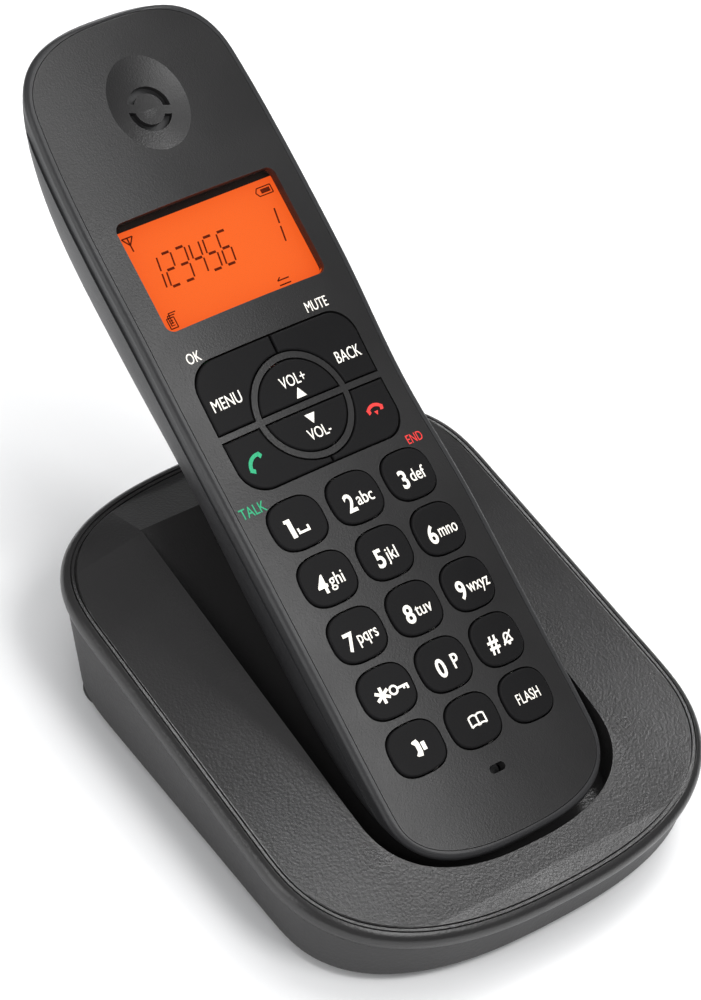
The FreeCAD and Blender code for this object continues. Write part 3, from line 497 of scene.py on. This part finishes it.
def clear_window():
    made, tree, shader = material("clear_window")
    out = tree.nodes["Material Output"]
    through = add(tree, "ShaderNodeBsdfTransparent")
    shine = add(tree, "ShaderNodeBsdfGlossy")
    grain = use(tree, GRAIN, Cell_size=0.002, Depth=0.02)
    link(tree, spread(tree, grain.outputs["Mottle"], 0.03, 0.07), shine.inputs["Roughness"])
    mirror = add(tree, "ShaderNodeFresnel")
    mirror.inputs["IOR"].default_value = 1.08
    both = add(tree, "ShaderNodeMixShader")
    link(tree, mirror.outputs["Fac"], both.inputs[0])
    link(tree, through.outputs[0], both.inputs[1])
    link(tree, shine.outputs[0], both.inputs[2])
    link(tree, both.outputs[0], out.inputs["Surface"])
    tree.nodes.remove(shader)
    return made


GLASS = display_glass()
WINDOW = clear_window()
print("display materials", GLASS.name, WINDOW.name)

# %% [markdown]
# ## Dress the parts
#
# Every part of the frame keeps its shape and gets one of the materials above.

# %% Give every part its material
DRESS = {
    FACE: ["handset_front_cover"],
    SHELL: ["handset_rear_cover", "battery_door"],
    TOP: ["base_top_cover"],
    WALL: ["base_housing"],
    FEET: ["base_feet"],
    SOCKET: ["line_socket", "power_socket"],
    STEEL: ["handset_screws", "base_screws"],
    PLATED: ["battery_contacts", "handset_charge_pads", "charge_pin_left", "charge_pin_right"],
    CIRCUIT: ["handset_board", "base_board"],
    SLEEVE: ["battery_cells"],
    FILM: ["dome_sheet"],
    SOUNDER: ["earpiece_speaker", "microphone", "loudspeaker"],
    GUIDE: ["display_light_guide"],
    GLASS: ["display_glass"],
    WINDOW: ["display_window"],
    KEY: [n for n in NODES if n.startswith("key_")],
}
dressed = 0
for finish, names in DRESS.items():
    for name in names:
        NODES[name].data.materials.clear()
        NODES[name].data.materials.append(finish)
        dressed += 1
print("dressed", dressed, "of", len(NODES))

# %% [markdown]
# ## Ink
#
# The legends are pad-printed: a thin, slightly uneven layer of ink, a warm white on the keys,
# green for talk and red for end.

# %% Make the inks
def ink(name, thin, full, rough=(0.45, 0.6), specular=0.3):
    made, tree, shader = material(name)
    grain = use(tree, GRAIN, Cell_size=0.00025, Depth=0.25)
    link(tree, mix_colour(tree, spread(tree, grain.outputs["Speckle"], 0.0, 1.0), thin, full),
         shader.inputs["Base Color"])
    link(tree, spread(tree, grain.outputs["Mottle"], *rough), shader.inputs["Roughness"])
    link(tree, grain.outputs["Normal"], shader.inputs["Normal"])
    shader.inputs["Specular IOR Level"].default_value = specular
    return made


CREAM = ink("ink_cream", (0.62, 0.59, 0.53), (0.86, 0.83, 0.76))
GREEN = ink("ink_green", (0.01, 0.22, 0.10), (0.02, 0.36, 0.17))
RED = ink("ink_red", (0.50, 0.022, 0.02), (0.72, 0.04, 0.035))
LCD_DARK = ink("liquid_crystal", (0.060, 0.008, 0.003), (0.085, 0.011, 0.004), (0.6, 0.7), 0.0)
print("inks", [m.name for m in (CREAM, GREEN, RED, LCD_DARK)])

# %% [markdown]
# ## Drawing with ink
#
# A legend is a flat drawing in millimetres that is bent onto the face. Letters come from text
# curves turned into a mesh, and signs from a few shapes: a polygon, a bar, an arc and a disc.
# Each gives points and faces of a layer a few hundredths of a millimetre thick.

# %% Shapes to draw with
LAYER = 0.03
CAPITAL = 0.729


def slab(points):
    """A flat polygon, its points in order, as a thin closed layer."""
    n = len(points)
    verts = [(x, y, h) for h in (-LAYER, LAYER) for x, y in points]
    faces = [list(range(n - 1, -1, -1)), list(range(n, 2 * n))]
    faces += [[i, (i + 1) % n, n + (i + 1) % n, n + i] for i in range(n)]
    return verts, faces


def bar(x0, y0, x1, y1, width):
    size = math.hypot(x1 - x0, y1 - y0)
    nx = -(y1 - y0) / size * width / 2
    ny = (x1 - x0) / size * width / 2
    return slab([(x0 - nx, y0 - ny), (x1 - nx, y1 - ny), (x1 + nx, y1 + ny), (x0 + nx, y0 + ny)])


def disc(x, y, r, steps=20):
    turns = [2 * math.pi * i / steps for i in range(steps)]
    return slab([(x + r * math.cos(a), y + r * math.sin(a)) for a in turns])


def arc(x, y, r, width, start, stop, steps=14):
    """Part of a ring, as a row of short bars that share their ends."""
    turns = [math.radians(start + (stop - start) * i / steps) for i in range(steps + 1)]
    near = [(x + (r - width / 2) * math.cos(a), y + (r - width / 2) * math.sin(a)) for a in turns]
    far = [(x + (r + width / 2) * math.cos(a), y + (r + width / 2) * math.sin(a)) for a in turns]
    n = steps + 1
    ring = [(p[0], p[1], h) for h in (-LAYER, LAYER) for p in near + far]
    faces = []
    for i in range(steps):
        a, b, c, d = i, i + 1, n + i + 1, n + i
        faces += [[d, c, b, a], [a + 2 * n, b + 2 * n, c + 2 * n, d + 2 * n],
                  [a, b, b + 2 * n, a + 2 * n], [c, d, d + 2 * n, c + 2 * n]]
    faces += [[0, 2 * n, 3 * n, n], [n - 1, 2 * n - 1, 4 * n - 1, 3 * n - 1]]
    return ring, faces


def moved(shape, dx, dy, turn=0.0, size=1.0):
    c = math.cos(math.radians(turn)) * size
    s = math.sin(math.radians(turn)) * size
    verts, faces = shape
    return [(x * c - y * s + dx, x * s + y * c + dy, z) for x, y, z in verts], faces


def words(text, height, x, y, weight=0.02, squeeze=1.0, align="LEFT"):
    """Letters whose capitals are height tall, from x and standing on y."""
    curve = bpy.data.curves.new("letters", "FONT")
    curve.body = text
    curve.size = 1.0
    curve.offset = weight
    curve.extrude = LAYER / (height / CAPITAL)
    curve.align_x = align
    curve.resolution_u = 4
    holder = bpy.data.objects.new("letters", curve)
    scene.collection.objects.link(holder)
    bpy.context.view_layer.update()
    mesh = bpy.data.meshes.new_from_object(holder.evaluated_get(
        bpy.context.evaluated_depsgraph_get()))
    size = height / CAPITAL
    verts = [(v.co.x * size * squeeze + x, v.co.y * size + y, v.co.z * size)
             for v in mesh.vertices]
    faces = [list(p.vertices) for p in mesh.polygons]
    bpy.data.objects.remove(holder)
    bpy.data.curves.remove(curve)
    bpy.data.meshes.remove(mesh)
    return verts, faces


def lay_on(name, shapes, at, height, ink_used, body):
    """One piece from several shapes, laid on the surface that height gives."""
    verts = []
    faces = []
    for shape_verts, shape_faces in shapes:
        start = len(verts)
        for x, y, z in shape_verts:
            u, v = at[0] + x, at[1] + y
            verts.append(place(u, v, height(u, v) + z))
        faces += [[start + i for i in f] for f in shape_faces]
    mesh = bpy.data.meshes.new(name)
    mesh.from_pydata(verts, [], faces)
    mesh.materials.append(ink_used)
    tidy = bmesh.new()
    tidy.from_mesh(mesh)
    bmesh.ops.remove_doubles(tidy, verts=tidy.verts, dist=1e-7)
    bmesh.ops.recalc_face_normals(tidy, faces=tidy.faces)
    tidy.to_mesh(mesh)
    tidy.free()
    piece = bpy.data.objects.new(name, mesh)
    scene.collection.objects.link(piece)
    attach(piece, body)
    return piece


def on_key(u, v):
    return face_height(u, v) + KEY_RISE + LAYER


def on_nav_key(u, v):
    return face_height(u, v) + NAV_RISE + LAYER


def on_face(u, v):
    return face_height(u, v) + LAYER


print("shapes ready; layer", LAYER, "mm each way")

# %% [markdown]
# ## Signs
#
# The signs that aren't letters are drawn from those shapes: a handset lifted and laid down, a
# loudspeaker, an open book, a key for the keypad lock, a bell struck through, a star and the
# mark for a space.

# %% Draw the signs
def star(x, y, r):
    return [bar(x + 0.25 * r * math.cos(a), y + 0.25 * r * math.sin(a), x + r * math.cos(a),
                y + r * math.sin(a), 0.55) for a in
            [math.radians(90 + 60 * i) for i in range(6)]] + [disc(x, y, 0.42, 12)]


def small_key(x, y):
    return [arc(x, y, 0.72, 0.36, 0, 360, 18), bar(x + 0.85, y, x + 2.9, y, 0.4),
            bar(x + 2.7, y, x + 2.7, y - 0.75, 0.38), bar(x + 2.0, y, x + 2.0, y - 0.55, 0.34)]


def space_mark(x, y):
    return [bar(x, y, x + 2.3, y, 0.42), bar(x + 0.19, y, x + 0.19, y + 0.85, 0.38),
            bar(x + 2.11, y, x + 2.11, y + 0.85, 0.38)]


def bell(x, y):
    dome = [(-0.95, -0.7), (-0.7, -0.3), (-0.6, 0.4), (-0.25, 0.85), (0.25, 0.85), (0.6, 0.4),
            (0.7, -0.3), (0.95, -0.7)]
    outline = [bar(x + ax, y + ay, x + bx, y + by, 0.3)
               for (ax, ay), (bx, by) in zip(dome, dome[1:] + dome[:1])]
    return outline + [disc(x, y - 1.0, 0.3, 10), bar(x - 1.2, y - 1.05, x + 1.25, y + 1.1, 0.28)]


def loud_sign(x, y):
    return [slab([(x - 0.15, y - 1.5), (x + 0.1, y - 0.75), (x + 0.1, y + 0.75),
                  (x - 0.15, y + 1.5), (x - 1.05, y + 1.35), (x - 1.25, y + 1.1),
                  (x - 0.75, y + 0.55), (x - 0.75, y - 0.55), (x - 1.25, y - 1.1),
                  (x - 1.05, y - 1.35)]),
            slab([(x + 0.35, y - 0.75), (x + 1.1, y - 0.75), (x + 1.1, y + 0.75),
                  (x + 0.35, y + 0.75)])]


def book(x, y):
    made = []
    for side in (-1, 1):
        page = [(0.0, -0.95), (0.5, -0.7), (1.1, -0.75), (1.6, -0.95), (1.6, 0.75),
                (1.1, 0.95), (0.5, 1.0), (0.0, 0.75)]
        spots = [(x + side * px, y + py) for px, py in page]
        made += [bar(*a, *b, 0.3) for a, b in zip(spots, spots[1:] + spots[:1])]
    return made


def lifted_handset(x, y, turn, size):
    """A receiver seen from the side: a bow with a heavier pad at each end."""
    bow = [arc(0.0, -1.9, 2.6, 0.75, 40, 140)]
    ends = [moved(slab([(-0.42, -0.75), (0.42, -0.55), (0.42, 0.45), (-0.42, 0.45)]),
                  s * 1.85, -0.25, -s * 14.0) for s in (-1, 1)]
    return [moved(shape, x, y, turn, size) for shape in bow + ends]


def arrow(x, y, way):
    return slab([(x - 1.05, y - way * 0.85), (x + 1.05, y - way * 0.85), (x, y + way * 0.95)])


print("signs ready")

# %% [markdown]
# ## Print the dial keys
#
# A digit stands a little left of the key's middle with its small letters after it, so that the
# pair is centred together. Each key's print rides with that key.

# %% Print the digits and letters
DIGITS = {"key_1": ("1", ""), "key_2": ("2", "abc"), "key_3": ("3", "def"),
          "key_4": ("4", "ghi"), "key_5": ("5", "jkl"), "key_6": ("6", "mno"),
          "key_7": ("7", "pqrs"), "key_8": ("8", "tuv"), "key_9": ("9", "wxyz")}
WIDE = ("pqrs", "wxyz", "mno")
WIDE_LEFT = -2.95
LEFT = -2.6
printed = []
for key, (digit, letters) in DIGITS.items():
    left = WIDE_LEFT if letters in WIDE else LEFT
    if digit == "1":
        drawing = [bar(-1.75, -2.2, -1.75, 1.25, 0.85), bar(-2.55, 0.95, -1.6, 0.95, 0.6)]
        drawing += space_mark(-0.9, -1.7)
    else:
        drawing = [words(digit, 3.3, left, -2.15, 0.024, 0.84)]
    if letters:
        squeeze = 0.74 if letters in WIDE else 0.84
        drawing.append(words(letters, 2.35, left + 2.3, -1.55, 0.004, squeeze))
    printed.append(lay_on(key + "_legend", drawing, middle_of(key), on_key, CREAM,
                          key + "_body"))
print("printed", len(printed), "digit keys")

# %% [markdown]
# ## Print the remaining keys
#
# The bottom rows carry signs, and the four corner keys and the rocker above them carry words.

# %% Print the signs and words
NAV_MIDDLE = 80.2
LEGENDS = {
    "key_star": (star(-1.25, -0.3, 1.45) + small_key(1.0, -0.25), CREAM),
    "key_0": ([words("0", 3.3, -1.95, -2.0, 0.024, 0.84),
               words("P", 2.7, 1.35, -1.5, 0.012, 0.8)], CREAM),
    "key_hash": ([words("#", 3.2, -2.4, -1.9, 0.022, 0.84)] + bell(1.9, -0.5), CREAM),
    "key_speaker": (loud_sign(0.5, -0.1), CREAM),
    "key_book": (book(0.6, -0.2), CREAM),
    "key_flash": ([words("FLASH", 2.0, 0.1, -1.2, 0.0, 0.70, "CENTER")], CREAM),
}
for key, (drawing, ink_used) in LEGENDS.items():
    printed.append(lay_on(key + "_legend", drawing, middle_of(key), on_key, ink_used,
                          key + "_body"))

NAV = {
    "key_menu": ([words("MENU", 2.2, -13.0, 4.6, 0.0, 0.72, "CENTER")], CREAM),
    "key_back": ([words("BACK", 2.2, 12.9, 4.2, 0.0, 0.72, "CENTER")], CREAM),
    "key_up": ([words("VOL+", 2.1, 0.3, 3.7, 0.0, 0.74, "CENTER"), arrow(0.4, 2.2, 1.0)],
               CREAM),
    "key_down": ([words("VOL-", 2.1, 0.3, -6.2, 0.0, 0.74, "CENTER"),
                  arrow(0.1, -2.6, -1.0)], CREAM),
    "key_talk": (lifted_handset(-13.6, -5.6, 42.0, 0.88), GREEN),
    "key_end": (lifted_handset(12.6, -5.2, 2.0, 0.80)
                + [moved(arrow(0, 0, -1.0), 12.6, -6.1, 0, 0.42)], RED),
}
for key, (drawing, ink_used) in NAV.items():
    printed.append(lay_on(key + "_legend", drawing, (0.0, NAV_MIDDLE), on_nav_key, ink_used,
                          key + "_body"))

COVER = {
    "label_ok": ([words("OK", 1.95, -14.95, 93.9, 0.0, 0.70, "CENTER")], CREAM),
    "label_mute": ([words("MUTE", 1.95, 11.6, 94.4, 0.0, 0.72, "CENTER")], CREAM),
    "label_talk": ([words("TALK", 2.0, -18.1, 66.4, 0.0, 0.74, "CENTER")], GREEN),
    "label_end": ([words("END", 1.75, 17.2, 66.9, 0.0, 0.76, "CENTER")], RED),
}
for name, (drawing, ink_used) in COVER.items():
    printed.append(lay_on(name, drawing, (0.0, 0.0), on_face, ink_used, "handset"))
print("printed", len(printed), "pieces in all")

# %% [markdown]
# ## What the display shows
#
# The liquid crystal shows a row of segment digits, a line number, and four small marks: signal,
# battery, a list and a call in progress. Segments lean a little, and gaps part them, so they
# read as a display and not as printed type. They lie on the display glass.

# %% Draw the segments
SEGMENTS = {"1": "bc", "2": "abged", "3": "abgcd", "4": "fgbc", "5": "afgcd", "6": "afgedc"}
DIGIT_W = 2.0
DIGIT_H = 5.9
SLANT = 0.16
SEGMENT_GAP = 0.26
GLASS_W = max(in_handset(v.co).z for v in NODES["display_glass"].data.vertices)


def segment_digit(which, x, y, width, height):
    """A leaning digit of up to seven thin segments."""
    half = height / 2
    ends = {"a": (0, height, width, height), "b": (width, height, width, half),
            "c": (width, half, width, 0), "d": (0, 0, width, 0), "e": (0, half, 0, 0),
            "f": (0, height, 0, half), "g": (0, half, width, half)}
    made = []
    for letter in SEGMENTS[which]:
        x0, y0, x1, y1 = ends[letter]
        size = math.hypot(x1 - x0, y1 - y0)
        dx, dy = (x1 - x0) / size * SEGMENT_GAP, (y1 - y0) / size * SEGMENT_GAP
        thick = 0.46 if y0 == y1 else 0.30
        made.append(bar(x + x0 + dx + (y0 + dy) * SLANT, y + y0 + dy,
                        x + x1 - dx + (y1 - dy) * SLANT, y + y1 - dy, thick))
    return made


def on_glass(u, v):
    return GLASS_W + LAYER


digits = []
for place_in_row, which in enumerate("123456"):
    digits += segment_digit(which, -13.9 + 2.95 * place_in_row, 107.7, DIGIT_W, DIGIT_H)
digits += segment_digit("1", 11.7, 107.6, DIGIT_W, 6.6)
signal = [bar(-14.4, 115.7, -14.4, 118.3, 0.26), bar(-15.5, 118.3, -13.3, 118.3, 0.24),
          bar(-15.5, 118.3, -14.4, 116.9, 0.24), bar(-13.3, 118.3, -14.4, 116.9, 0.24)]
battery = [bar(13.3, 116.7, 16.2, 116.7, 0.2), bar(13.3, 118.2, 16.2, 118.2, 0.2),
           bar(16.2, 116.7, 16.2, 118.2, 0.2), bar(13.3, 118.2, 12.8, 117.45, 0.2),
           bar(12.8, 117.45, 13.3, 116.7, 0.2),
           slab([(13.9, 117.05), (15.8, 117.05), (15.8, 117.85), (13.9, 117.85)])]
pages = [bar(-14.9 + d, 102.9 + d, -13.4 + d, 102.9 + d, 0.2) for d in (0.0, 0.4, 0.8)]
pages += [bar(-14.9 + d, 101.0 + d, -14.9 + d, 102.9 + d, 0.2) for d in (0.0, 0.4, 0.8)]
pages += [bar(-13.4, 101.0, -13.4, 102.9, 0.2), bar(-14.9, 101.0, -13.4, 101.0, 0.2)]
pages += [bar(-14.5, 101.5 + d, -13.8, 101.5 + d, 0.16) for d in (0.0, 0.45, 0.9)]
call = [bar(8.4, 101.0, 10.8, 101.0, 0.24), bar(8.4, 101.9, 10.8, 101.9, 0.24),
        bar(8.4, 101.9, 9.1, 102.4, 0.2)]
marks = signal + battery + pages + call
lay_on("display_digits", digits, (0.0, 0.0), on_glass, LCD_DARK, "handset")
lay_on("display_marks", marks, (0.0, 0.0), on_glass, LCD_DARK, "handset")
print("segments", len(digits), "and marks", len(marks))

# %% [markdown]
# ## The floor
#
# The telephone stands on a wide pale sheet. It is nearly white with the faintest mottling, so
# the only thing seen on it is the soft shadow.

# %% Lay the floor
def pale_sheet():
    made, tree, shader = material("pale_sheet")
    grain = use(tree, GRAIN, Cell_size=0.004, Depth=0.05)
    link(tree, mix_colour(tree, grain.outputs["Mottle"], (0.90, 0.90, 0.90),
                          (0.93, 0.93, 0.93)), shader.inputs["Base Color"])
    link(tree, spread(tree, grain.outputs["Mottle"], 0.7, 0.85), shader.inputs["Roughness"])
    shader.inputs["Specular IOR Level"].default_value = 0.2
    return made


sheet_mesh = bpy.data.meshes.new("floor")
ground = bmesh.new()
bmesh.ops.create_grid(ground, x_segments=24, y_segments=24, size=3.0)
ground.to_mesh(sheet_mesh)
ground.free()
sheet_mesh.materials.append(pale_sheet())
floor = bpy.data.objects.new("floor", sheet_mesh)
scene.collection.objects.link(floor)
floor.location.z = -0.00005
spared = bpy.data.collections.new("spared_by_front_fill")
spared.objects.link(floor)
spared.collection_objects[0].light_linking.link_state = "EXCLUDE"
front_fill.light_linking.receiver_collection = spared
print("floor", len(sheet_mesh.polygons), "squares")
